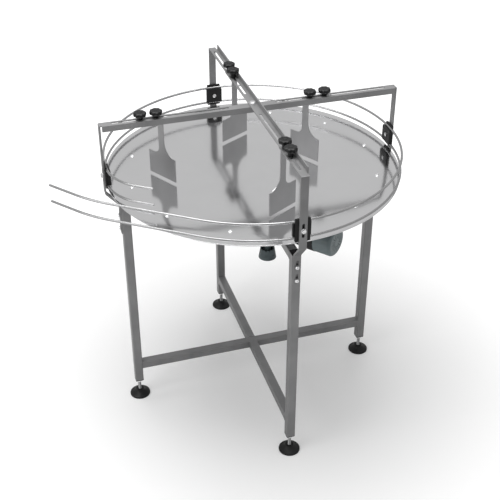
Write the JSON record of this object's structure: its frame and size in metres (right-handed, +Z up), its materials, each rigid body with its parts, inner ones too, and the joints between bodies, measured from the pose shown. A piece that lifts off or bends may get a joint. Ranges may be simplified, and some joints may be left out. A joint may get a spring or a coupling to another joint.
{
  "type": "rotary accumulation table",
  "caption": "Rotary accumulation table: a driven steel disc on a tubular stand, with round guide rails, an outfeed lane and paddles that hang from slotted cross beams.",
  "frame": {"origin": "on the floor, under the axis of the disc", "axes": "+Z up, -Y towards the front leg, +X towards the right leg; the outfeed lane opens at the left front"},
  "size_m": [1.2097, 1.0362, 1.1746],
  "materials": {
    "frame_steel": "satin ground stainless steel tube and strip",
    "disc_steel": "smooth stainless sheet with soft blurred reflections",
    "rod_steel": "drawn bright stainless rod",
    "plate_steel": "satin stainless plate",
    "bright_fasteners": "bright zinc plated and stainless fasteners",
    "stud_steel": "threaded steel stud",
    "black_plastic": "black moulded polyamide",
    "black_knob": "black moulded thermoset, half gloss",
    "motor_paint": "blue-grey machine enamel",
    "motor_dark": "dark enamel on cast aluminium",
    "wheel_plastic": "blue-grey moulded plastic",
    "carrier_paint": "grey primer on mild steel"
  },
  "bodies": {
    "root": {"leg_right": "frame_steel", "leg_back": "frame_steel", "leg_left": "frame_steel", "leg_front": "frame_steel", "leg_top_caps": "black_plastic", "lower_cross_tube_x": "frame_steel", "lower_cross_tubes_y": "frame_steel", "upper_arms": "frame_steel", "drive_plate": "frame_steel", "bearing_plate": "frame_steel", "bearing_housing": "carrier_paint", "gearbox_housing": "motor_paint", "variator_housing": "motor_paint", "motor_casing": "motor_dark", "motor_neck": "black_plastic", "fan_cowl": "motor_paint", "terminal_box": "motor_paint", "foot_inserts": "black_plastic", "foot_locknuts": "bright_fasteners", "upright_bolts": "bright_fasteners", "drive_bolts": "bright_fasteners"},
    "turntable": {"table_disc": "disc_steel", "disc_screws": "bright_fasteners", "support_ring": "carrier_paint", "spider": "carrier_paint", "drive_shaft": "stud_steel"},
    "fan": {"cooling_fan": "black_plastic"},
    "handwheel": {"speed_handwheel": "wheel_plastic"},
    "overhead": {"upright_right": "frame_steel", "upright_back": "frame_steel", "upright_left": "frame_steel", "upright_front": "frame_steel", "beam_x": "frame_steel", "beam_y": "frame_steel", "beam_bolt": "bright_fasteners"},
    "rails": {"guide_rail_upper": "rod_steel", "guide_rail_lower": "rod_steel", "clamp_bases": "black_plastic", "clamp_covers": "black_plastic", "clamp_bolts": "bright_fasteners"},
    "paddle_right": {"paddle_right": "plate_steel"},
    "stud_right": {"foot_stud_right": "stud_steel"},
    "pad_right": {"foot_pad_right": "black_plastic"},
    "knob_right_inner": {"knob_right_inner": "black_knob"},
    "knob_right_outer": {"knob_right_outer": "black_knob"},
    "paddle_back": {"paddle_back": "plate_steel"},
    "stud_back": {"foot_stud_back": "stud_steel"},
    "pad_back": {"foot_pad_back": "black_plastic"},
    "knob_back_inner": {"knob_back_inner": "black_knob"},
    "knob_back_outer": {"knob_back_outer": "black_knob"},
    "paddle_left": {"paddle_left": "plate_steel"},
    "stud_left": {"foot_stud_left": "stud_steel"},
    "pad_left": {"foot_pad_left": "black_plastic"},
    "knob_left_inner": {"knob_left_inner": "black_knob"},
    "knob_left_outer": {"knob_left_outer": "black_knob"},
    "paddle_front": {"paddle_front": "plate_steel"},
    "stud_front": {"foot_stud_front": "stud_steel"},
    "pad_front": {"foot_pad_front": "black_plastic"},
    "knob_front_inner": {"knob_front_inner": "black_knob"},
    "knob_front_outer": {"knob_front_outer": "black_knob"}
  },
  "joints": [
    {"name": "disc_spin", "type": "hinge", "parent": "root", "child": "turntable", "pos_m": [0, 0, 0.9], "axis": [0, 0, 1], "continuous": true},
    {"name": "fan_spin", "type": "hinge", "parent": "root", "child": "fan", "pos_m": [0.15453, -0.26195, 0.756], "axis": [0.6428, -0.766, 0], "continuous": true},
    {"name": "speed_handwheel_turn", "type": "hinge", "parent": "root", "child": "handwheel", "pos_m": [0.02276, -0.10491, 0.63], "axis": [0, 0, 1], "range_deg": [-720, 720]},
    {"name": "frame_height", "type": "slide", "parent": "root", "child": "overhead", "axis": [0, 0, 1], "range_m": [-0.003, 0.006]},
    {"name": "rails_height", "type": "slide", "parent": "overhead", "child": "rails", "axis": [0, 0, 1], "range_m": [-0.002, 0.02]},
    {"name": "paddle_right_slide", "type": "slide", "parent": "overhead", "child": "paddle_right", "axis": [1, 0, 0], "range_m": [-0.114, 0.214]},
    {"name": "knob_right_inner_turn", "type": "hinge", "parent": "paddle_right", "child": "knob_right_inner", "pos_m": [0.199, 0, 1.15], "axis": [0, 0, 1], "range_deg": [-360, 360]},
    {"name": "knob_right_outer_turn", "type": "hinge", "parent": "paddle_right", "child": "knob_right_outer", "pos_m": [0.251, 0, 1.15], "axis": [0, 0, 1], "range_deg": [-360, 360]},
    {"name": "paddle_back_slide", "type": "slide", "parent": "overhead", "child": "paddle_back", "axis": [0, 1, 0], "range_m": [-0.142, 0.186]},
    {"name": "knob_back_inner_turn", "type": "hinge", "parent": "paddle_back", "child": "knob_back_inner", "pos_m": [0, 0.227, 1.15], "axis": [0, 0, 1], "range_deg": [-360, 360]},
    {"name": "knob_back_outer_turn", "type": "hinge", "parent": "paddle_back", "child": "knob_back_outer", "pos_m": [0, 0.279, 1.15], "axis": [0, 0, 1], "range_deg": [-360, 360]},
    {"name": "paddle_left_slide", "type": "slide", "parent": "overhead", "child": "paddle_left", "axis": [-1, 0, 0], "range_m": [-0.239, 0.089]},
    {"name": "knob_left_inner_turn", "type": "hinge", "parent": "paddle_left", "child": "knob_left_inner", "pos_m": [-0.324, 0, 1.15], "axis": [0, 0, 1], "range_deg": [-360, 360]},
    {"name": "knob_left_outer_turn", "type": "hinge", "parent": "paddle_left", "child": "knob_left_outer", "pos_m": [-0.376, 0, 1.15], "axis": [0, 0, 1], "range_deg": [-360, 360]},
    {"name": "paddle_front_slide", "type": "slide", "parent": "overhead", "child": "paddle_front", "axis": [0, -1, 0], "range_m": [-0.244, 0.084]},
    {"name": "knob_front_inner_turn", "type": "hinge", "parent": "paddle_front", "child": "knob_front_inner", "pos_m": [0, -0.329, 1.15], "axis": [0, 0, 1], "range_deg": [-360, 360]},
    {"name": "knob_front_outer_turn", "type": "hinge", "parent": "paddle_front", "child": "knob_front_outer", "pos_m": [0, -0.381, 1.15], "axis": [0, 0, 1], "range_deg": [-360, 360]},
    {"name": "foot_right_height", "type": "slide", "parent": "root", "child": "stud_right", "axis": [0, 0, 1], "range_m": [-0.015, 0.02]},
    {"name": "pad_right_swivel", "type": "hinge", "parent": "stud_right", "child": "pad_right", "pos_m": [0.447, 0, 0.013], "axis": [0, 0, 1], "continuous": true},
    {"name": "foot_back_height", "type": "slide", "parent": "root", "child": "stud_back", "axis": [0, 0, 1], "range_m": [-0.015, 0.02]},
    {"name": "pad_back_swivel", "type": "hinge", "parent": "stud_back", "child": "pad_back", "pos_m": [0, 0.447, 0.013], "axis": [0, 0, 1], "continuous": true},
    {"name": "foot_left_height", "type": "slide", "parent": "root", "child": "stud_left", "axis": [0, 0, 1], "range_m": [-0.015, 0.02]},
    {"name": "pad_left_swivel", "type": "hinge", "parent": "stud_left", "child": "pad_left", "pos_m": [-0.447, 0, 0.013], "axis": [0, 0, 1], "continuous": true},
    {"name": "foot_front_height", "type": "slide", "parent": "root", "child": "stud_front", "axis": [0, 0, 1], "range_m": [-0.015, 0.02]},
    {"name": "pad_front_swivel", "type": "hinge", "parent": "stud_front", "child": "pad_front", "pos_m": [0, -0.447, 0.013], "axis": [0, 0, 1], "continuous": true}
  ]
}
